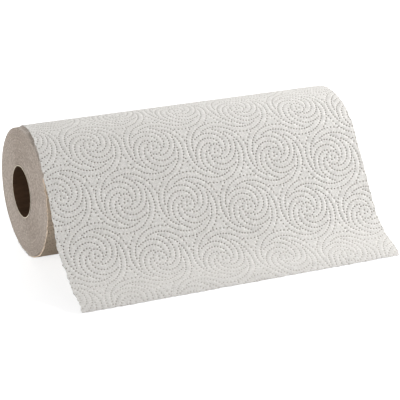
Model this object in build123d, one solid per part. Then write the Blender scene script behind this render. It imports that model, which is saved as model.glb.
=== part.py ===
from build123d import *
import math
import os

# A paper towel roll lying on its side, its leading sheet pulled over the top and down to the front.
# X runs along the roll, -Y is the front and +Z is up. The origin is on the floor, under the core's
# axis and half way along the paper. Sizes are in millimetres and angles in degrees.

# Core
sheet_width = 279.4         # width of the web: the length of the roll and of its core
bore_radius = 21.0
core_wall = 0.8
core_slide = 1.5            # how far the core has slid out of the roll's left end
glue_gap = 0.2              # between the core and the paper wound on it

# Wound web
roll_radius = 53.1          # top of the roll above the core's axis, leading sheet included
sheet_thickness = 0.8       # embossed leading sheet
turn_gap = 0.25             # air between two drawn turns
turn_thickness = 1.4        # drawn turn and its gap: it stands for several real, thinner ones
bulge_depth = 4.2           # how far the outermost turn bulges to the front, where it has been pulled
flat_depth = 0.45           # how far the roll has settled on the floor

# Leading sheet: its slope below the horizontal where it leaves the roll, where it starts to level
# out, where it is most level and where its curled end meets the floor, and the share of its fall
# from each slope to the next
slope_angles = (56.2, 53.1, 10.0, 52.0)
fall_shares = (0.69, 0.23, 0.08)

# Worked out from the sizes above
core_radius = bore_radius + core_wall
web_bore_radius = core_radius + glue_gap
last_slit_radius = roll_radius - sheet_thickness - turn_gap / 2
slit_turns = max(1, round((last_slit_radius - web_bore_radius) / turn_thickness) - 1)
pitch = (last_slit_radius - web_bore_radius) / (slit_turns + 1)
under_top = last_slit_radius - turn_gap / 2         # top of the roll under the leading sheet
roll_foot = (under_top + roll_radius) / 2           # its lowest point, before it settles
axis_height = roll_foot - flat_depth


def bulge_at(radius):
    """How far the front half of a turn is shifted forward: not at all on the core, most outside."""
    return bulge_depth * (radius - web_bore_radius) / (roll_radius - web_bore_radius)


def front_half(top, foot, bulge):
    """Front half turn, from its top to its foot: +Y is to the right here and +Z is up."""
    return CenterArc((-bulge, (top - foot) / 2), (top + foot) / 2, 90, 180)


def back_half(foot, top):
    """Back half turn, from its foot up to the top of the next turn."""
    return CenterArc((0, (top - foot) / 2), (top + foot) / 2, 270, 180)


def add_to(edges, edge):
    """Adds an edge, after a straight one where a half turn's bulge has moved its end away."""
    if edges and (edges[-1] @ 1 - edge @ 0).length > 1e-6:
        edges.append(Line(edges[-1] @ 1, edge @ 0))
    edges.append(edge)


def slit_wall(offset):
    """One wall of the slit between the turns, from its blind end near the core to its last top."""
    edges = []
    for turn in range(slit_turns):
        top = web_bore_radius + pitch * (turn + 1) + offset
        foot = top + pitch / 2
        add_to(edges, front_half(top, foot, bulge_at(foot)))
        add_to(edges, back_half(foot, top + pitch))
    return edges


def over_the_top(height):
    """Where the leading sheet still lies on the roll, this high above the turn under it."""
    centre = (-bulge_depth, (under_top - roll_foot) / 2)
    return CenterArc(centre, (under_top + roll_foot) / 2 + height, 90, slope_angles[0])


def down_to_the_floor(start, height, fall):
    """The sheet from where it leaves the roll, this high above its underside, as tangent arcs."""
    edges = []
    for slope, next_slope, share in zip(slope_angles, slope_angles[1:], fall_shares):
        flattening = math.cos(math.radians(next_slope)) - math.cos(math.radians(slope))
        radius = abs(share / sum(fall_shares) * fall / flattening - height)
        heading = math.radians(180 + slope)
        edges.append(JernArc(start, (math.cos(heading), math.sin(heading)), radius, next_slope - slope))
        start = edges[-1] @ 1
    return edges


# The outline follows the slit's inner wall out from the core, goes once round the roll and down the
# leading sheet's outer side, and comes back along its underside and the slit's outer wall.
outer_lift = turn_gap + sheet_thickness
fall = axis_height + (over_the_top(turn_gap) @ 1).Y

outward = slit_wall(-turn_gap / 2)
add_to(outward, front_half(under_top, roll_foot, bulge_depth))
add_to(outward, back_half(roll_foot, roll_radius))
add_to(outward, over_the_top(outer_lift))
outward += down_to_the_floor(outward[-1] @ 1, sheet_thickness, fall)

inward = slit_wall(turn_gap / 2)
add_to(inward, over_the_top(turn_gap))
inward += down_to_the_floor(inward[-1] @ 1, 0, fall)

blind_end = Line(inward[0] @ 0, outward[0] @ 0)
sheet_end = Line(outward[-1] @ 1, inward[-1] @ 1)
wound_outline = Face(Wire(outward + [sheet_end] + inward + [blind_end]))

below_floor = Pos(0, -axis_height - roll_radius) * Rectangle(4 * roll_radius, 2 * roll_radius)
web_section = wound_outline - Circle(web_bore_radius) - below_floor
core_section = Circle(core_radius) - Circle(bore_radius)

left_end = Plane.YZ * Pos(0, axis_height, -sheet_width / 2)
towel_web = extrude(left_end * web_section, sheet_width)
core_tube = Pos(-core_slide, 0, 0) * extrude(left_end * core_section, sheet_width)

os.makedirs("parts", exist_ok=True)
export_step(towel_web, "parts/towel_web.step")
export_step(core_tube, "parts/core_tube.step")
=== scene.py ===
import math

import bmesh
import bpy
import numpy as np
from mathutils import Matrix, Vector, kdtree, noise
from mathutils.geometry import delaunay_2d_cdt


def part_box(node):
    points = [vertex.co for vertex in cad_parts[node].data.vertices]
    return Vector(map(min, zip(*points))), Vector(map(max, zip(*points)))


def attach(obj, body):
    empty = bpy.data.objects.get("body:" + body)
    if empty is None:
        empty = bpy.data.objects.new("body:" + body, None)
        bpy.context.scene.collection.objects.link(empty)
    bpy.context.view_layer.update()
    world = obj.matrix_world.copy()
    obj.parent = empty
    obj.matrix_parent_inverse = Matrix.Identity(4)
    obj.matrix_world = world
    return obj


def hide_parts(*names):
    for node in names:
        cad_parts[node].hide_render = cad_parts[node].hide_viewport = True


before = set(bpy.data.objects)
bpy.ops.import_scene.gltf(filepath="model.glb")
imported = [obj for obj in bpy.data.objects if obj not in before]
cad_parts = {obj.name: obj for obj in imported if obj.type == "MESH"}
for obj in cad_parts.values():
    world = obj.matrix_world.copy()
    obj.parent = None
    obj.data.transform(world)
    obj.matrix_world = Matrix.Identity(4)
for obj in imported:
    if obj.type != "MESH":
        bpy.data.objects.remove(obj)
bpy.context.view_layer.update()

# A paper towel roll on its side, with its leading sheet pulled over the top and down to the front.
# X runs along the roll, -Y is the front and +Z is up. Sizes are in metres and angles in degrees.
# A point of the web has an x and a v: v runs along the web's outer side, from the line where the
# leading sheet leaves the roll, up over the roll where it is negative and down the sheet where it
# is positive.

web_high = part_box("towel_web")[1]
core_low, core_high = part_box("core_tube")
MM = 0.001

# The roll, as in part.py
HALF_WIDTH = web_high.x
AXIS_HEIGHT = (core_low.z + core_high.z) / 2
CORE_RADIUS = (core_high.z - core_low.z) / 2
CORE_WALL = 0.8 * MM
GLUE_GAP = 0.2 * MM
ROLL_RADIUS = web_high.z - AXIS_HEIGHT
SHEET_THICKNESS = 0.8 * MM
TURN_GAP = 0.25 * MM
BULGE_DEPTH = 4.2 * MM
SLOPE_ANGLES = (56.2, 53.1, 10.0, 52.0)
FALL_SHARES = (0.69, 0.23, 0.08)

# Sheets
SHEET_LENGTH = 223.5 * MM               # from one perforation to the next
FLOOR_CLEARANCE = 0.02 * MM
BODY_CLEARANCE = 0.2 * MM               # for the dots that stand out under a sheet
PERFORATION_DEPTH = 0.5 * MM
PERFORATION_HALF_WIDTH = 0.9 * MM
BRIDGE_PITCH = 7.0 * MM                 # the perforation's uncut bridges
BRIDGE_SHARE = 0.16
OUTER_SIDE = -0.6 * SHEET_THICKNESS     # heights above this are on a sheet's outer side
TEAR_ROUGHNESS = 0.25 * MM              # of the torn free end
TEAR_LOSS = 0.3 * MM                    # what the tear takes off on the whole
TEAR_FADE = 2 * MM                      # how far in from the free end it is felt
TEAR_SCALES = (1.3 * MM, 6 * MM)        # over which it changes
EDGE_WANDER = 0.6 * MM                  # how far a cut edge wanders sideways
EDGE_SCALE = 40 * MM                    # over which it wanders
EDGE_FADE = 25 * MM                     # how far in from the edge the wander is felt
EDGE_FRAY = 0.45 * MM                   # its fine roughness
FRAY_SCALE = 2.5 * MM
FRAY_POWER = 8                          # keeps the fray close to the edge
DRAWN_IN = (8.2 * MM, -85 * MM, 42 * MM)        # left edge, behind the top: how far, its v and reach
STANDING_OUT = (1.9 * MM, 58 * MM, 18 * MM)     # left edge, half way down the leading sheet
SHEET_WAVE = 0.5 * MM                   # unevenness of the hanging sheet
WAVE_SCALES = (70 * MM, 50 * MM)        # over which it changes, along x and v
WAVE_RISE = 30 * MM                     # below the roll, where it grows
WAVE_FALL = 12 * MM                     # before the free end, where it dies down
SHADED_FADE = 25 * MM                   # up from the roll's foot, under the leading sheet, over which the painted light through that sheet fades in
SHEET_CREASE = 60                       # edges sharper than this stay sharp

# Embossing: dots on the arms of swirls, in rows of swirls
SWIRL_PITCH = 52.8 * MM
SWIRL_ROW_ANGLE = 11.15                 # of a row of swirls, down to the right
SWIRL_COLUMN_ANGLE = 60                 # from a row on to the slanted column that crosses it
SWIRL_CENTRE = Vector((-94.5 * MM, -21.7 * MM))     # x and v of one swirl
CENTRE_RINGS = ((1.75 * MM, -10, 3), (5.85 * MM, 16, 14))   # radius, first dot's angle and dots
ARMS = 6                                # inner arms, and as many outer ones
DOT_SPACING = 2.42 * MM                 # along an arm
TAIL_SPACING = 3.15 * MM                # along an outer arm's end
INNER_START = (8.0 * MM, 56.4)          # radius and angle of an inner arm's first dot
INNER_RISES = (0.0905 * MM, -0.00008 * MM)      # of its radius, per degree and degree squared
INNER_DOTS = 16
OUTER_START = (19.55 * MM, 51.8)
OUTER_RISES = (0.072 * MM, 0.00005 * MM)
OUTER_DOTS = 13
TAIL_DOTS = 5
PIT_RADIUS = 0.72 * MM
PIT_DEPTH = 0.9 * MM
RIM_HEIGHT = 0.15 * MM                  # of the raised rim round a pit
DEEPEST = -0.93 * MM                    # of a pit, so that the sheet has no hole there
UNDERSIDE_RELIEF = 0.3 * MM
UNDERSIDE_RAISED = 0.45                 # share of it that lies inside the sheet's thickness
RELIEF_SCATTER = 0.15
RELIEF_SCALE = 2.2 * MM                 # over which the relief's depth changes
PRESSED_ON_ROLL = 0.3                   # share of the relief that is lost where the web is wound
PRESSED_FROM = -5 * MM                  # where that begins, by v
PRESSED_FADE = 35 * MM
PRESSED_AT_END = 0.5                    # and near the free end, which was glued down on the new roll
END_REACH = 55 * MM                     # how far before the free end that begins
END_FADE = 45 * MM
PIT_RINGS = ((0.5 * PIT_RADIUS, 5), (PIT_RADIUS, 7))        # of vertices: radius and corners
PIT_RING_START = 7                      # angle of such a ring's first corner
FILL_STEPS = 25                         # of the plain grid between the dots, per swirl
FILL_DISTANCE = 1.5 * MM                # of the plain grid from a dot
NEAR_CELLS = np.array([(i, j) for i in (-1, 0, 1) for j in (-1, 0, 1)])     # a cell and those round it
CELL_MARGIN = 0.2                       # share of the near cells that is triangulated with a cell
CUT_TOLERANCE = 1e-7                    # for vertices that lie on a cut
SIDE_TOLERANCE = 1e-6                   # for vertices on a sheet's sides
TRIANGLE_TOLERANCE = 1e-6               # of the triangulation, in millimetres
SLIVER = 0.04 * MM                      # vertices along a cut that are closer are joined

# Places in the noise, one for each use of it
RELIEF_SEED = 6.5
LINE_SEED = 0.5
LEADING_EDGE_SEED = 2.0
SECOND_EDGE_SEED = 5.0
TEAR_SEEDS = (3.3, 8.1)
WAVE_SEED = 4.2
DRIFT_SEED = 9

# Wound turns
TURNS = 76
TURN_STEPS = 96                         # of a turn, round the axis
GAP_SHARES = (0.0, 0.3, 0.72)           # across a turn: the gap before it and its two shoulders
TURN_HEIGHTS = (-0.14 * MM, 0.06 * MM, 0.09 * MM)       # of these three, out of the roll's end
TELESCOPED = 1.5 * MM                   # how far the inner turns have slid out with the core
TURN_SCATTER = 0.24 * MM                # how far single turns stand out
SCATTER_LENGTH = 30 * MM                # along a turn, over which that changes
SCATTER_PER_TURN = 0.9                  # how much it changes from one turn to the next
TURN_DRIFT = 0.18 * MM                  # how far groups of turns stand out
DRIFT_LENGTH = 50 * MM
DRIFT_TURNS = 11                        # in such a group
LET_GO = 0.93                           # of the way round, where the turns leave the leading sheet
SHADED_WAY = 0.28                       # of the way round, to where light comes through the sheet; there it is painted on the outermost turn
SHADED_WAY_FADE = 0.1
TURN_CREASE = 75                        # edges sharper than this stay sharp

# Core
CORE_RINGS = 60
CORE_STEPS = 96
SEAM_PITCH = 95 * MM                    # of the spiral seam, along the core
SEAM_DEPTH = 0.25 * MM
CORE_UNEVENNESS = 0.12 * MM
CORE_WEAR_SCALE = 20 * MM               # along the core, over which the unevenness changes
CORE_WEAR_ROUND = 1.5                   # how much it changes round the core
CORE_CREASE = 60                        # edges sharper than this stay sharp

# Colours
PAPER_LIGHT = (0.92, 0.90, 0.87, 1)
PAPER_SHADE = (0.64, 0.62, 0.585, 1)
FACE_LIGHT = (0.75, 0.675, 0.61, 1)
FACE_DARK = (0.41, 0.345, 0.295, 1)
PAINTED_THROUGH_LIGHT = (0.95, 0.78, 0.61, 1)    # painted light: pale and warm where light comes only through the sheet above it
# Painted shade that darkens and warms the pits of the dots
PIT_SHADE_COLOUR = (0.16, 0.075, 0.02, 1)
PIT_SHADE_POWER = 0.55                       # the painted shade in a pit goes with this power of its depth
# Painted shade in the gaps between the wound turns
GAP_SHADE_COLOUR = (0.25, 0.19, 0.14, 1)
# The board's own brown, made darker still as painted shade inside the bore
BOARD_LIGHT = (0.135, 0.075, 0.042, 1)
BOARD_DARK = (0.08, 0.044, 0.024, 1)
BOARD_SPECK = (0.09, 0.05, 0.03, 1)
CUT_EDGE_LIGHT = (0.92, 0.84, 0.70, 1)
CUT_EDGE_DARK = (0.74, 0.64, 0.50, 1)

# Grain: a scale is per metre, a range is the part of the noise that is spread from none to full,
# and a share is how much of a colour it brings in
TISSUE_RANGE = (0.3, 0.7)
MOTTLE_SCALE = 1200
CLOUD_SCALE = 30
CLOUD_SHARE = 0.2
FIBRE_SCALE = 1500
FIBRE_HEIGHT = 0.15 * MM
FACE_RING_SCALE = 800
FACE_RING_RANGE = (0.32, 0.68)
FACE_RING_SHARE = 0.7
FACE_SPECK_SCALE = 600
FACE_SPECK_RANGE = (0.42, 0.6)
FACE_SPECK_SHARE = 0.8
# How much of the painted shade the gaps get
FACE_GAP_SHADE_SHARE = 0.4
# How much of the painted light through the sheet the outermost turn gets
FACE_PAINTED_LIGHT_SHARE = 0.5
FACE_FIBRE_SCALE = 1800
FACE_FIBRE_HEIGHT = 0.1 * MM
BOARD_SCALE = 220
CUT_EDGE_SCALE = 700
BOARD_STRETCH = (0.25, 1, 1)            # of the scale, so that the streaks run along the core
BOARD_RANGE = (0.35, 0.7)
BOARD_SPECK_SCALE = 1600
BOARD_SPECK_RANGE = (0.66, 0.72)
BOARD_SPECK_SHARE = 0.4
BOARD_FIBRE_HEIGHT = 0.08 * MM

# Light
AMBIENT = 0.17
KEY_PLACE = (1.25, -0.34, 0.64)
KEY_SIZE = 0.3
KEY_POWER = 26.5
FILL_PLACE = (-1.47, -0.3, 0.22)
FILL_SIZE = 0.7
FILL_POWER = 13.5
BACK_PLACE = (0.2, 1.3, 0.9)
BACK_SIZE = 0.7
BACK_POWER = 10.0
LAMP_AIM = Vector((0, -0.03, 0.05))
FLOOR_TONE = 0.6
FLOOR_GLOW = 0.78
FLOOR_REACH = 4.0

# Camera, from the photograph
VIEW_TURN = 25.86                       # from +Y towards +X
VIEW_DROP = 22.083
VIEW_ROLL = 1.248
VIEW_DISTANCE = 1.41597
VIEW_AIM = Vector((5.561 * MM, -28.273 * MM, 32.630 * MM))
IMAGE_SIZE = 400                        # pixels
PIXELS_PER_METRE = 1200.37              # at the aim
SENSOR_WIDTH = 36.0                     # millimetres, as Blender has it


def arc_end(y, z, heading, curvature, length):
    """The point and heading after this length of an arc, all of them numbers or arrays."""
    turn = curvature * length
    chord = length * np.sinc(turn / (2 * np.pi))
    middle = heading + turn / 2
    return y + chord * np.cos(middle), z + chord * np.sin(middle), heading + turn


class Path:
    """Arcs in the (Y, Z) plane, each going on from the end of the last one."""

    def __init__(self, start, heading, arcs):
        self.knots = [0.0]
        self.starts = []
        place = (*start, heading)
        for length, curvature in arcs:
            self.starts.append((*place, curvature))
            self.knots.append(self.knots[-1] + length)
            place = arc_end(*place, curvature, length)
        self.starts = np.array(self.starts)

    def at(self, distance):
        """The points and headings at these distances along the path."""
        arc = np.clip(np.searchsorted(self.knots, distance, "right") - 1, 0, len(self.starts) - 1)
        y, z, heading, curvature = self.starts[arc].T
        return arc_end(y, z, heading, curvature, distance - np.array(self.knots)[arc])


def web_arcs():
    """The web's outer side from the top of the roll, under the leading sheet, round and to its end,
    and the distances along it to where the leading sheet leaves the roll and to the turn under that."""
    under_top = ROLL_RADIUS - SHEET_THICKNESS - TURN_GAP
    foot = (under_top + ROLL_RADIUS) / 2
    front_radius = (under_top + foot) / 2
    back_radius = (foot + ROLL_RADIUS) / 2
    over_radius = front_radius + TURN_GAP + SHEET_THICKNESS
    arcs = [
        (math.pi * front_radius, 1 / front_radius),
        (BULGE_DEPTH, 0.0),
        (math.pi * back_radius, 1 / back_radius),
        (BULGE_DEPTH, 0.0),
        (math.radians(SLOPE_ANGLES[0]) * over_radius, 1 / over_radius),
    ]
    departure = sum(length for length, _ in arcs)
    apex = math.radians(SLOPE_ANGLES[0]) * front_radius
    lean = math.cos(math.radians(SLOPE_ANGLES[0]))
    fall = AXIS_HEIGHT + (under_top - foot) / 2 + (front_radius + TURN_GAP) * lean
    for slope, next_slope, share in zip(SLOPE_ANGLES, SLOPE_ANGLES[1:], FALL_SHARES):
        flattening = math.cos(math.radians(next_slope)) - math.cos(math.radians(slope))
        radius = share / sum(FALL_SHARES) * fall / flattening - SHEET_THICKNESS
        arcs.append((radius * math.radians(slope - next_slope), -1 / radius))
    start = (-BULGE_DEPTH, AXIS_HEIGHT + under_top)
    return Path(start, math.pi, arcs), departure, apex


web_path, leaving_at, apex_at = web_arcs()
V_END = web_path.knots[-1] - leaving_at         # the free end
V_PERFORATION = V_END - SHEET_LENGTH            # on the back of the roll
V_APEX = apex_at - leaving_at                   # in the gap where the leading sheet leaves the roll
V_FOOT = web_path.knots[1] - leaving_at         # under the roll, in front


def on_the_web(x, v, height):
    """Points this high above the web's outer side, none of them below the floor."""
    y, z, heading = web_path.at(v + leaving_at)
    z = np.maximum(z - height * np.cos(heading), FLOOR_CLEARANCE)
    return np.column_stack((x, y + height * np.sin(heading), z))


def smooth_step(value):
    """0 below 0, 1 above 1 and a smooth rise between."""
    value = np.clip(value, 0, 1)
    return value * value * (3 - 2 * value)


def uneven(a, b, c):
    """Smooth noise, mostly from -0.5 to 0.5, at places with these coordinates: arrays or numbers."""
    places = np.stack(np.broadcast_arrays(a, b, c), -1)
    return np.array([noise.noise(Vector(p)) for p in places.reshape(-1, 3)]).reshape(places.shape[:-1])


def waves(position, seed, scale):
    """A smooth uneven line: values from about -1 to 1 at these positions, changing over this scale."""
    return 2 * uneven(position / scale, seed, LINE_SEED)


def arm(radius, angle, rises, turn_way, runs):
    """Dots out along a swirl's arm, as complex numbers. Its radius grows by these rises per degree
    and degree squared; runs are pairs of a dot spacing and a number of dots."""
    dots = []
    turned = 0.0
    for spacing, count in runs:
        for _ in range(count):
            r = radius + (rises[0] + rises[1] * turned) * turned
            dots.append(r * np.exp(1j * math.radians(angle + turn_way * turned)))
            growth = math.degrees(rises[0] + 2 * rises[1] * turned)
            turned += math.degrees(spacing / math.hypot(r, growth))
    return dots


def ring(radius, angle, count):
    """Dots on a circle, as complex numbers."""
    return [radius * np.exp(1j * math.radians(angle + 360 * k / count)) for k in range(count)]


def swirl():
    """The dots of one swirl round its centre, as x and v. The arms' angles turn counter-clockwise
    for someone who looks at the paper."""
    inner_runs = [(DOT_SPACING, INNER_DOTS)]
    outer_runs = [(DOT_SPACING, OUTER_DOTS), (TAIL_SPACING, TAIL_DOTS)]
    dots = []
    for centre_ring in CENTRE_RINGS:
        dots += ring(*centre_ring)
    for turn in range(0, 360, 360 // ARMS):
        dots += arm(INNER_START[0], INNER_START[1] + turn, INNER_RISES, 1, inner_runs)
        dots += arm(OUTER_START[0], OUTER_START[1] + turn, OUTER_RISES, -1, outer_runs)
    dots = np.array(dots)
    return np.column_stack((dots.real, -dots.imag))


class Embossing:
    """The repeating pattern of swirls: distances to its dots, and meshes that follow the dots."""

    def __init__(self):
        row = np.exp(1j * math.radians(SWIRL_ROW_ANGLE)) * SWIRL_PITCH
        column = row * np.exp(1j * math.radians(SWIRL_COLUMN_ANGLE))
        self.steps = np.array(((row.real, row.imag), (column.real, column.imag)))
        self.origin = np.array(SWIRL_CENTRE)
        self.dots = self.home(swirl())
        near = np.concatenate([self.dots + cell @ self.steps for cell in NEAR_CELLS])
        self.tree = kdtree.KDTree(len(near))
        for index, dot in enumerate(near):
            self.tree.insert((*dot, 0), index)
        self.tree.balance()

    def shares(self, points):
        """Places in steps along the rows and columns."""
        return points @ np.linalg.inv(self.steps)

    def home(self, points):
        """The same places in the first cell of the pattern."""
        return (self.shares(points) % 1) @ self.steps

    def distance(self, points):
        """Distance from each point to the nearest dot."""
        return np.array([self.tree.find((*p, 0))[2] for p in self.home(points)])

    def cell_mesh(self, rings):
        """Vertices of one cell and its triangles. A triangle is three vertex numbers and the cells
        that they lie in. rings are the radius and corners of each ring of vertices round a dot."""
        points = [self.dots]
        for radius, corners in rings:
            around = np.array(ring(radius, PIT_RING_START, corners))
            offsets = np.column_stack((around.real, around.imag))
            points.append((self.dots[:, None] + offsets[None]).reshape(-1, 2))
        grid = np.stack(np.meshgrid(np.arange(FILL_STEPS), np.arange(FILL_STEPS)), -1)
        grid = ((grid.reshape(-1, 2) + 0.5) / FILL_STEPS) @ self.steps
        points.append(grid[self.distance(grid) > FILL_DISTANCE])
        points = np.concatenate(points)
        cells = np.floor(self.shares(points)).astype(int)
        points = points - cells @ self.steps

        number = np.tile(np.arange(len(points)), len(NEAR_CELLS))
        cell = NEAR_CELLS.repeat(len(points), 0)
        place = points[number] + cell @ self.steps
        share = self.shares(place)
        close = ((share > -CELL_MARGIN) & (share < 1 + CELL_MARGIN)).all(1)
        number, cell, place = number[close], cell[close], place[close]
        # In millimetres. The 0 stands for triangles all over
        flat = [Vector(p / MM) for p in place]
        _, _, faces, kept, _, _ = delaunay_2d_cdt(flat, [], [], 0, TRIANGLE_TOLERANCE)
        source = np.array([k[0] for k in kept])
        faces = source[np.array(faces)]
        middle = self.shares(place[faces].mean(1))
        faces = faces[((middle >= 0) & (middle < 1)).all(1)]
        return points, number[faces], cell[faces]

    def patch(self, x_range, v_range, rings, height):
        """A flat patch of the pattern as rows of (x, v, height) and triangles, cut to these ranges."""
        points, numbers, cells = self.cell_mesh(rings)
        heights = height(self.distance(points))
        corners = np.array([(x, v) for x in x_range for v in v_range]) - self.origin
        lowest = np.floor(self.shares(corners).min(0)).astype(int) - 1
        highest = np.ceil(self.shares(corners).max(0)).astype(int) + 1
        tiles = [(i, j) for i in range(lowest[0], highest[0]) for j in range(lowest[1], highest[1])]
        cells = np.concatenate([cells + tile for tile in tiles])
        numbers = np.tile(numbers, (len(tiles), 1))
        places = self.origin + points[numbers] + cells @ self.steps
        low, high = places.min(1), places.max(1)
        inside = (high[:, 0] > x_range[0]) & (low[:, 0] < x_range[1])
        inside &= (high[:, 1] > v_range[0]) & (low[:, 1] < v_range[1])
        numbers, cells, places = numbers[inside], cells[inside], places[inside]
        keys = np.column_stack((cells.reshape(-1, 2), numbers.reshape(-1)))
        _, first, faces = np.unique(keys, axis=0, return_index=True, return_inverse=True)
        flat = places.reshape(-1, 2)[first]
        rows = np.column_stack((flat, heights[numbers.reshape(-1)[first]]))
        return cut_to(rows, faces.reshape(-1, 3), x_range, v_range)


def cut_to(rows, faces, x_range, v_range):
    """Cuts flat triangles off at the sides of a rectangle. Returns new rows and triangles."""
    mesh = bpy.data.meshes.new("cutting")
    mesh.from_pydata(rows.tolist(), [], faces.tolist())
    work = bmesh.new()
    work.from_mesh(mesh)
    sides = [((x_range[0], 0, 0), (-1, 0, 0)), ((x_range[1], 0, 0), (1, 0, 0)),
             ((0, v_range[0], 0), (0, -1, 0)), ((0, v_range[1], 0), (0, 1, 0))]
    for place, way in sides:
        everything = work.verts[:] + work.edges[:] + work.faces[:]
        bmesh.ops.bisect_plane(work, geom=everything, dist=CUT_TOLERANCE, plane_co=place,
                               plane_no=way, clear_outer=True)
    rim = [v for v in work.verts if v.is_boundary]
    bmesh.ops.remove_doubles(work, verts=rim, dist=SLIVER)
    bmesh.ops.triangulate(work, faces=[f for f in work.faces if len(f.verts) > 3])
    work.verts.index_update()
    rows = np.array([v.co[:] for v in work.verts])
    faces = np.array([[v.index for v in f.verts] for f in work.faces])
    work.free()
    bpy.data.meshes.remove(mesh)
    return rows, faces


def zip_together(a, b, place_a, place_b):
    """Triangles between two rows of vertex numbers, each in the order of its places."""
    faces = []
    i = j = 0
    while i < len(a) - 1 or j < len(b) - 1:
        step_a = j == len(b) - 1 or (i < len(a) - 1 and place_a[i + 1] < place_b[j + 1])
        if step_a:
            faces.append((a[i], a[i + 1], b[j]))
            i += 1
        else:
            faces.append((a[i], b[j + 1], b[j]))
            j += 1
    return faces


def walls(top, bottom, x_range, v_range):
    """Triangles that close the four sides between a top and a bottom patch, bottom numbers last."""
    faces = []
    for axis, along, limits in ((0, 1, x_range), (1, 0, v_range)):
        for limit in limits:
            on_top = np.flatnonzero(abs(top[:, axis] - limit) < SIDE_TOLERANCE)
            on_top = on_top[np.argsort(top[on_top, along])]
            on_bottom = np.flatnonzero(abs(bottom[:, axis] - limit) < SIDE_TOLERANCE)
            on_bottom = on_bottom[np.argsort(bottom[on_bottom, along])]
            faces += zip_together(on_top, on_bottom + len(top), top[on_top, along],
                                  bottom[on_bottom, along])
    return np.array(faces)


def surface_height(distance):
    """The embossed surface over the plain paper: each dot is a pit with a raised rim."""
    rim = 1 - smooth_step((distance - PIT_RADIUS) / (FILL_DISTANCE - PIT_RADIUS))
    return RIM_HEIGHT * rim - PIT_DEPTH * np.clip(1 - distance / PIT_RADIUS, 0, 1)


def underside_height(distance):
    """The sheet's underside, where the dots stand out."""
    pit = smooth_step(1 - distance / FILL_DISTANCE)
    return -SHEET_THICKNESS + UNDERSIDE_RELIEF * (UNDERSIDE_RAISED - pit)


def relief_share(x, v):
    """How much of the embossing's full depth is left at these places of the web."""
    on_roll = PRESSED_ON_ROLL * smooth_step((PRESSED_FROM - v) / PRESSED_FADE)
    at_end = PRESSED_AT_END * smooth_step((v - V_END + END_REACH) / END_FADE)
    scatter = uneven(x / RELIEF_SCALE, v / RELIEF_SCALE, RELIEF_SEED)
    return (1 - on_roll - at_end) * (1 + RELIEF_SCATTER * np.clip(scatter, -1, 1))


def new_mesh_object(name, points, faces, material, crease):
    """A closed mesh with its normals outward, smooth apart from edges sharper than the crease."""
    mesh = bpy.data.meshes.new(name)
    mesh.from_pydata(points.tolist(), [], faces.tolist())
    work = bmesh.new()
    work.from_mesh(mesh)
    bmesh.ops.recalc_face_normals(work, faces=work.faces)
    work.to_mesh(mesh)
    work.free()
    mesh.shade_smooth()
    mesh.set_sharp_from_angle(angle=math.radians(crease))
    mesh.materials.append(material)
    obj = bpy.data.objects.new(name, mesh)
    bpy.context.collection.objects.link(obj)
    return obj


def set_attribute(obj, name, values):
    """Stores one number per vertex, for the material to read."""
    attribute = obj.data.attributes.new(name, "FLOAT", "POINT")
    attribute.data.foreach_set("value", np.asarray(values, dtype=np.float32))


def embossed_sheet(name, v_range, material, shape):
    """A sheet of the web from one v to another. shape moves its rows of (x, v, height) a little."""
    x_range = (-HALF_WIDTH, HALF_WIDTH)
    top, top_faces = embossing.patch(x_range, v_range, PIT_RINGS, surface_height)
    bottom, bottom_faces = embossing.patch(x_range, v_range, (), underside_height)
    side_faces = walls(top, bottom, x_range, v_range)
    share = relief_share(top[:, 0], top[:, 1])
    # Painted shade in the pits: most at a pit's bottom, less where the relief is pressed flat
    pit_shade = np.clip(top[:, 2] / (RIM_HEIGHT - PIT_DEPTH), 0, 1) ** PIT_SHADE_POWER * share
    top[:, 2] = np.maximum(top[:, 2] * share, DEEPEST)
    rows = np.concatenate((top, bottom))
    faces = np.concatenate((top_faces, bottom_faces + len(top), side_faces))
    points = on_the_web(*shape(rows).T)
    obj = new_mesh_object(name, points, faces, material, SHEET_CREASE)
    set_attribute(obj, "pit_shade", np.concatenate((pit_shade, np.zeros(len(bottom)))))
    # Painted light: the web's front under the leading sheet turns pale and warm, as if lit through it
    set_attribute(obj, "shaded", smooth_step((V_FOOT - rows[:, 1]) / SHADED_FADE))
    return obj


def left_edge_pull(v):
    """The web's left edge is drawn in behind the top of the roll, and stands out a little half way
    down the leading sheet."""
    drawn_in, standing_out = (far * np.exp(-((v - place) / reach) ** 2)
                              for far, place, reach in (DRAWN_IN, STANDING_OUT))
    return drawn_in - standing_out


def wander(rows, seed):
    """Lets a sheet's two cut edges wander sideways and fray, and pulls the left one. The side
    changes the seed, so that no two edges are alike."""
    x, v = rows[:, 0], rows[:, 1]
    for side in (-1, 1):
        fade = smooth_step(1 - (HALF_WIDTH - side * x) / EDGE_FADE)
        near = np.flatnonzero(fade > 0)
        offset = EDGE_WANDER * waves(v[near], seed + side, EDGE_SCALE)
        if side < 0:
            offset += left_edge_pull(v[near])
        fray = EDGE_FRAY * waves(v[near], seed + 3 * side, FRAY_SCALE) * fade[near] ** FRAY_POWER
        rows[near, 0] += offset * fade[near] + fray


def perforate(rows, v_line):
    """Sinks the surface along a line of perforation, apart from its bridges."""
    close = np.flatnonzero(abs(rows[:, 1] - v_line) < PERFORATION_HALF_WIDTH)
    bridge = (rows[close, 0] / BRIDGE_PITCH) % 1 < BRIDGE_SHARE
    near = 1 - abs(rows[close, 1] - v_line) / PERFORATION_HALF_WIDTH
    on_top = rows[close, 2] > OUTER_SIDE
    rows[close, 2] -= np.where(bridge | ~on_top, 0, PERFORATION_DEPTH * smooth_step(near))


def tear(rows):
    """Roughens the free end, where the last sheet was torn off at its perforation."""
    fade = smooth_step(1 - (V_END - rows[:, 1]) / TEAR_FADE)
    near = np.flatnonzero(fade > 0)
    fibres = sum(waves(rows[near, 0], seed, scale) for seed, scale in zip(TEAR_SEEDS, TEAR_SCALES))
    rows[near, 1] += (TEAR_ROUGHNESS * fibres - TEAR_LOSS) * fade[near]


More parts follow.
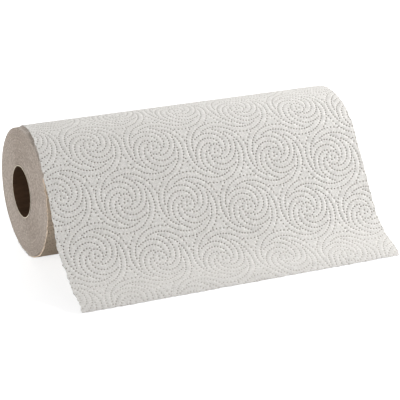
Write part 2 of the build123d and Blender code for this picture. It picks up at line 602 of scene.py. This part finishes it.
def shape_leading_sheet(rows):
    """Its edges, perforation and torn end, and slow waves where it hangs free."""
    wander(rows, LEADING_EDGE_SEED)
    perforate(rows, V_PERFORATION)
    tear(rows)
    free = np.flatnonzero(rows[:, 1] > 0)
    x, v = rows[free, 0], rows[free, 1]
    lift = smooth_step(v / WAVE_RISE) * smooth_step((V_END - v) / WAVE_FALL)
    rows[free, 2] += SHEET_WAVE * lift * uneven(x / WAVE_SCALES[0], v / WAVE_SCALES[1], WAVE_SEED)
    return rows


def shape_second_sheet(rows):
    """Its edges, and the perforation at both of its ends."""
    wander(rows, SECOND_EDGE_SEED)
    perforate(rows, V_PERFORATION)
    perforate(rows, V_PERFORATION - SHEET_LENGTH)
    return rows


def outer_turn():
    """The wound turns' outer side, at even steps from the gap under the leading sheet round by the
    foot, back and top: its radius and its angle at the core's axis."""
    v = np.linspace(V_APEX, 0, TURN_STEPS + 1)
    y, z, heading = web_path.at(v + leaving_at)
    depth = SHEET_THICKNESS + BODY_CLEARANCE
    y = y - depth * np.sin(heading)
    z = np.maximum(z + depth * np.cos(heading), FLOOR_CLEARANCE + SHEET_THICKNESS) - AXIS_HEIGHT
    return np.hypot(y, z), np.arctan2(z, y)


def wound_turns(name, material):
    """The turns under the outer sheets: one spiral strip from the core out, with a gap before each
    turn. Neighbouring turns share the line of vertices between them."""
    inner_radius = CORE_RADIUS + GLUE_GAP
    radius, angle = outer_turn()
    depth = radius - inner_radius
    pitch = depth[0] / TURNS
    way = np.arange(TURN_STEPS + 1) / TURN_STEPS
    # Near the gap under the leading sheet the turns let go of it, to meet where they began
    depth -= (depth[-1] - depth[0] - pitch) * smooth_step((way - LET_GO) / (1 - LET_GO))

    # The strip's vertices, and after them the outermost turn's outer side
    shares = len(GAP_SHARES)
    last = TURNS * TURN_STEPS
    strip_steps = np.arange(last + 1)
    outer_steps = np.arange(last + 1, last + TURN_STEPS + 1)
    steps = np.concatenate((strip_steps.repeat(shares), outer_steps))
    share = np.concatenate((np.tile(np.arange(shares), len(strip_steps)), np.zeros(TURN_STEPS, int)))

    def number(step, m):
        """The vertex at a step and share. The share after the last one is the next turn's first."""
        step = step + TURN_STEPS * (m // shares)
        in_strip = step * shares + m % shares
        return np.where(step <= last, in_strip, last * (shares - 1) + step + shares - 1)

    around = steps % TURN_STEPS
    wound = steps / TURN_STEPS + np.array(GAP_SHARES)[share]
    of_depth = wound / (TURNS + around / TURN_STEPS)
    r = inner_radius + depth[around] * of_depth
    y, z = r * np.cos(angle[around]), r * np.sin(angle[around])
    z = np.maximum(z + AXIS_HEIGHT, FLOOR_CLEARANCE + SHEET_THICKNESS)
    ends = []
    for side in (-1, 1):
        # The noise is moved by the side, so that the two ends differ
        scatter = uneven(wound * SCATTER_PER_TURN, y / SCATTER_LENGTH, z / SCATTER_LENGTH + side)
        drift = uneven(wound / DRIFT_TURNS, y / DRIFT_LENGTH, z / DRIFT_LENGTH + DRIFT_SEED * side)
        out = np.array(TURN_HEIGHTS)[share] + TURN_SCATTER * scatter + TURN_DRIFT * drift
        x = side * (HALF_WIDTH + out) - TELESCOPED * (1 - of_depth)
        ends.append(np.column_stack((x, y, z)))

    step, m = np.meshgrid(np.arange(last), np.arange(shares), indexing="ij")
    corners = ((step, m), (step + 1, m), (step + 1, m + 1), (step, m + 1))
    quads = np.stack([number(*corner) for corner in corners], -1).reshape(-1, 4)
    count = len(steps)
    faces = [quads[:, ::-1], quads + count]
    for first in (0, last):
        loop = [number(first + k, 0) for k in range(TURN_STEPS + 1)]
        loop += [number(first, k) for k in range(shares - 1, 0, -1)]
        loop = np.array(loop)
        ahead = np.roll(loop, -1)
        faces.append(np.stack((loop, ahead, ahead + count, loop + count), -1))
    obj = new_mesh_object(name, np.concatenate(ends), np.concatenate(faces), material, TURN_CREASE)
    # The gaps between turns, which the material darkens as painted shade
    set_attribute(obj, "gap", np.tile((share == 0) & (steps < last), 2))
    # Painted light: the outermost turn under the leading sheet turns pale and warm, as if lit through it
    shaded = np.zeros(count)
    outer_side = number(last + np.arange(TURN_STEPS + 1), 0)
    shaded[outer_side] = smooth_step((SHADED_WAY - way) / SHADED_WAY_FADE)
    set_attribute(obj, "shaded", np.tile(shaded, 2))
    return obj


def core_tube(name, tube_material, cut_edge_material):
    """The core's spiral-wound board tube, its grid twisted so that one line follows the seam."""
    x = np.linspace(core_low.x, core_high.x, CORE_RINGS + 1)[:, None]
    angle = 2 * np.pi * np.arange(CORE_STEPS) / CORE_STEPS + 2 * np.pi * x / SEAM_PITCH
    x = np.broadcast_to(x, angle.shape)
    wear = uneven(x / CORE_WEAR_SCALE, np.cos(angle) * CORE_WEAR_ROUND, np.sin(angle) * CORE_WEAR_ROUND)
    bore = CORE_RADIUS - CORE_WALL + CORE_UNEVENNESS * wear
    bore[:, 0] += SEAM_DEPTH
    inside = np.stack((x, bore * np.cos(angle), bore * np.sin(angle) + AXIS_HEIGHT), -1).reshape(-1, 3)
    ends = np.array([0, CORE_RINGS])
    y, z = CORE_RADIUS * np.cos(angle[ends]), CORE_RADIUS * np.sin(angle[ends]) + AXIS_HEIGHT
    outside = np.stack((x[ends], y, z), -1).reshape(-1, 3)

    def band(low, high):
        """The quads between two rings of vertices, from the number of each ring's first one."""
        low, high = low + np.arange(CORE_STEPS), high + np.arange(CORE_STEPS)
        return np.stack((low, high, np.roll(high, -1), np.roll(low, -1)), -1)

    first_out = len(inside)
    bands = [band(k * CORE_STEPS, (k + 1) * CORE_STEPS) for k in range(CORE_RINGS)]
    bands.append(band(first_out, first_out + CORE_STEPS))
    rims = [band(0, first_out), band(CORE_RINGS * CORE_STEPS, first_out + CORE_STEPS)]
    faces = np.concatenate(bands + rims)
    points = np.concatenate((inside, outside))
    obj = new_mesh_object(name, points, faces, tube_material, CORE_CREASE)
    obj.data.materials.append(cut_edge_material)
    # The last faces are the rims
    for polygon in obj.data.polygons[-2 * CORE_STEPS:]:
        polygon.material_index = 1
    return obj


class Nodes:
    """A node tree, with short calls for the nodes that the materials and the world share."""

    def __init__(self, tree):
        self.tree = tree

    def add(self, kind, inputs=None, **settings):
        """A new node. inputs gives its sockets a value each, or another node's output to read."""
        node = self.tree.nodes.new("ShaderNode" + kind)
        for key, value in settings.items():
            setattr(node, key, value)
        for key, value in (inputs or {}).items():
            if isinstance(value, bpy.types.NodeSocket):
                self.tree.links.new(value, node.inputs[key])
            else:
                node.inputs[key].default_value = value
        return node

    def noise(self, scale, detail=3.0, roughness=0.6):
        """Noise in the object's own space, this many times per metre, as a socket from 0 to 1."""
        place = self.add("TexCoord").outputs["Object"]
        inputs = {"Vector": place, "Scale": scale, "Detail": detail, "Roughness": roughness}
        return self.add("TexNoise", inputs).outputs["Fac"]

    def spread(self, value, low, high, to_low=0.0, to_high=1.0):
        """The value taken from one range to another, and held at its ends."""
        inputs = {"Value": value, "From Min": low, "From Max": high, "To Min": to_low, "To Max": to_high}
        return self.add("MapRange", inputs).outputs["Result"]

    def mix(self, share, a, b):
        """Colour a, or b where share is 1. A Mix node has its colours at 6 and 7, and at 2 out."""
        return self.add("Mix", {0: share, 6: a, 7: b}, data_type="RGBA").outputs[2]

    def times(self, a, b):
        """The product of two values."""
        return self.add("Math", {0: a, 1: b}, operation="MULTIPLY").outputs[0]

    def attribute(self, name):
        """The number that set_attribute stored under this name."""
        return self.add("Attribute", attribute_name=name).outputs["Fac"]

    def bump(self, height, distance, strength):
        """Normals that are tilted as if the surface had this height."""
        inputs = {"Height": height, "Distance": distance, "Strength": strength}
        return self.add("Bump", inputs).outputs[0]

    def surface(self, shader):
        """Makes this shader the material's surface."""
        self.add("OutputMaterial", {"Surface": shader.outputs[0]})

    def principled(self, **inputs):
        """Makes a principled surface. An underscore stands for a space in an input's name."""
        named = {key.replace("_", " "): value for key, value in inputs.items()}
        self.surface(self.add("BsdfPrincipled", named))


def new_material(name):
    """A material, and its nodes, none of them there yet."""
    material = bpy.data.materials.new(name)
    material.use_nodes = True
    material.node_tree.nodes.clear()
    return material, Nodes(material.node_tree)


def tissue(name, base, shade):
    """Soft embossed tissue: mottled fibres, with painted shade that makes the pits of the dots a little
    darker and warmer, and painted light that makes the paper pale and warm where light comes through a
    sheet above.
    """
    material, nodes = new_material(name)
    mottle = nodes.spread(nodes.noise(MOTTLE_SCALE), *TISSUE_RANGE)
    clouds = nodes.spread(nodes.noise(CLOUD_SCALE), *TISSUE_RANGE)
    colour = nodes.mix(mottle, base, shade)
    colour = nodes.mix(nodes.times(clouds, CLOUD_SHARE), colour, shade)
    # Painted light: pale and warm where light comes through the sheet above
    colour = nodes.mix(nodes.attribute("shaded"), colour, PAINTED_THROUGH_LIGHT)
    # Painted shade: the pits darker and warmer
    colour = nodes.mix(nodes.attribute("pit_shade"), colour, PIT_SHADE_COLOUR)
    bump = nodes.bump(nodes.noise(FIBRE_SCALE, roughness=0.7), FIBRE_HEIGHT, strength=1.0)
    nodes.principled(Base_Color=colour, Roughness=0.94, Specular_IOR_Level=0.12, Normal=bump,
                     Sheen_Weight=0.08, Sheen_Roughness=0.6)
    return material


def cut_turns(name):
    """The cut edges of the wound tissue: warm grey, streaked round the roll, with painted shade in the
    gaps between turns, and painted light, pale and warm, on the outermost turn where light comes through
    the sheet over it.
    """
    material, nodes = new_material(name)
    place = nodes.add("TexCoord").outputs["Object"]
    axis = nodes.add("Mapping", {"Vector": place, "Location": (0, 0, -AXIS_HEIGHT)}).outputs[0]
    split = nodes.add("SeparateXYZ", {"Vector": axis}).outputs
    flat = nodes.add("CombineXYZ", {"Y": split["Y"], "Z": split["Z"]}).outputs[0]
    radius = nodes.add("VectorMath", {0: flat}, operation="LENGTH").outputs["Value"]
    inputs = {"W": radius, "Scale": FACE_RING_SCALE, "Detail": 3.0, "Roughness": 0.7}
    rings = nodes.add("TexNoise", inputs, noise_dimensions="1D").outputs["Fac"]
    rings = nodes.times(nodes.spread(rings, *FACE_RING_RANGE), FACE_RING_SHARE)
    specks = nodes.spread(nodes.noise(FACE_SPECK_SCALE), *FACE_SPECK_RANGE)
    colour = nodes.mix(rings, FACE_LIGHT, FACE_DARK)
    colour = nodes.mix(nodes.times(specks, FACE_SPECK_SHARE), colour, FACE_DARK)
    # Painted shade in the gaps between turns
    colour = nodes.mix(nodes.times(nodes.attribute("gap"), FACE_GAP_SHADE_SHARE), colour, GAP_SHADE_COLOUR)
    # Painted light on the outermost turn, where light comes through the sheet over it
    shaded = nodes.times(nodes.attribute("shaded"), FACE_PAINTED_LIGHT_SHARE)
    colour = nodes.mix(shaded, colour, PAINTED_THROUGH_LIGHT)
    bump = nodes.bump(nodes.noise(FACE_FIBRE_SCALE, roughness=0.7), FACE_FIBRE_HEIGHT, strength=0.6)
    nodes.principled(Base_Color=colour, Roughness=0.97, Specular_IOR_Level=0.08, Normal=bump)
    return material


def board(name, light, dark, scale):
    """Uncoated paperboard with streaky fibres."""
    material, nodes = new_material(name)
    place = nodes.add("TexCoord").outputs["Object"]
    drawn = nodes.add("Mapping", {"Vector": place, "Scale": BOARD_STRETCH}).outputs[0]
    inputs = {"Vector": drawn, "Scale": scale, "Detail": 4.0, "Roughness": 0.65}
    streaks = nodes.add("TexNoise", inputs).outputs["Fac"]
    specks = nodes.spread(nodes.noise(BOARD_SPECK_SCALE, detail=1.0), *BOARD_SPECK_RANGE)
    colour = nodes.mix(nodes.spread(streaks, *BOARD_RANGE), light, dark)
    colour = nodes.mix(nodes.times(specks, BOARD_SPECK_SHARE), colour, BOARD_SPECK)
    bump = nodes.bump(streaks, BOARD_FIBRE_HEIGHT, strength=0.5)
    nodes.principled(Base_Color=colour, Roughness=0.85, Specular_IOR_Level=0.2, Normal=bump)
    return material


def seen_directly(nodes):
    """1 for what the camera sees itself, or through gloss or glass, as a socket."""
    path = nodes.add("LightPath").outputs
    seen = path["Is Camera Ray"]
    for way in ("Is Glossy Ray", "Is Transmission Ray"):
        seen = nodes.add("Math", {0: seen, 1: path[way]}, operation="MAXIMUM").outputs[0]
    return seen


def floor_material():
    """A pale floor that looks white from the camera, apart from the object's shadow."""
    material, nodes = new_material("studio_floor")
    diffuse = nodes.add("BsdfDiffuse", {"Color": (FLOOR_TONE, FLOOR_TONE, FLOOR_TONE, 1)})
    strength = nodes.times(seen_directly(nodes), FLOOR_GLOW)
    glow = nodes.add("Emission", {"Color": (1, 1, 1, 1), "Strength": strength})
    nodes.surface(nodes.add("AddShader", {0: diffuse.outputs[0], 1: glow.outputs[0]}))
    return material


def make_floor():
    """A wide, flat floor, which belongs to the studio and not to the object."""
    mesh = bpy.data.meshes.new("floor")
    r = FLOOR_REACH
    mesh.from_pydata([(-r, -r, 0), (r, -r, 0), (r, r, 0), (-r, r, 0)], [], [(0, 1, 2, 3)])
    mesh.materials.append(floor_material())
    floor = bpy.data.objects.new("floor", mesh)
    bpy.context.collection.objects.link(floor)


def make_world():
    """White where the camera sees it, and an even, plain light on the object."""
    world = bpy.data.worlds.new("studio")
    bpy.context.scene.world = world
    world.use_nodes = True
    nodes = Nodes(world.node_tree)
    background = world.node_tree.nodes["Background"]
    background.inputs["Color"].default_value = (1, 1, 1, 1)
    strength = nodes.spread(seen_directly(nodes), 0.0, 1.0, to_low=AMBIENT)
    world.node_tree.links.new(strength, background.inputs["Strength"])


def make_lamp(name, place, size, power):
    """A square soft lamp that faces the roll."""
    light = bpy.data.lights.new(name, "AREA")
    light.size = size
    light.energy = power
    lamp = bpy.data.objects.new(name, light)
    lamp.location = place
    lamp.rotation_mode = "QUATERNION"
    lamp.rotation_quaternion = (LAMP_AIM - Vector(place)).to_track_quat("-Z", "Y")
    bpy.context.collection.objects.link(lamp)


def make_camera():
    """The photograph's camera, as it was fitted to the object's outlines."""
    turn, drop, roll = math.radians(VIEW_TURN), math.radians(VIEW_DROP), math.radians(VIEW_ROLL)
    level = Vector((math.cos(turn), -math.sin(turn), 0))
    forward = Vector((math.sin(turn) * math.cos(drop), math.cos(turn) * math.cos(drop), -math.sin(drop)))
    upright = level.cross(forward)
    right = level * math.cos(roll) + upright * math.sin(roll)
    up = upright * math.cos(roll) - level * math.sin(roll)
    data = bpy.data.cameras.new("photo_camera")
    data.sensor_width = SENSOR_WIDTH
    data.lens = PIXELS_PER_METRE * VIEW_DISTANCE * SENSOR_WIDTH / IMAGE_SIZE
    camera = bpy.data.objects.new("photo_camera", data)
    place = VIEW_AIM - forward * VIEW_DISTANCE
    axes = Matrix((right, up, -forward)).transposed().to_4x4()
    camera.matrix_world = Matrix.Translation(place) @ axes
    bpy.context.collection.objects.link(camera)
    bpy.context.scene.camera = camera


embossing = Embossing()
paper = tissue("towel_tissue", PAPER_LIGHT, PAPER_SHADE)
leading_sheet = embossed_sheet("leading_sheet", (V_PERFORATION, V_END), paper, shape_leading_sheet)
second_sheet = embossed_sheet("second_sheet", (V_APEX, V_PERFORATION), paper, shape_second_sheet)
turns = wound_turns("wound_turns", cut_turns("cut_tissue"))
board_core = core_tube("board_core", board("core_board", BOARD_LIGHT, BOARD_DARK, BOARD_SCALE),
                       board("core_cut_edge", CUT_EDGE_LIGHT, CUT_EDGE_DARK, CUT_EDGE_SCALE))

for piece in (leading_sheet, second_sheet, turns, board_core):
    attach(piece, "root")
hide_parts("towel_web")
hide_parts("core_tube")

make_camera()
make_floor()
make_world()
make_lamp("key_lamp", KEY_PLACE, KEY_SIZE, KEY_POWER)
make_lamp("fill_lamp", FILL_PLACE, FILL_SIZE, FILL_POWER)
make_lamp("back_lamp", BACK_PLACE, BACK_SIZE, BACK_POWER)
bpy.context.scene.view_settings.view_transform = "Standard"
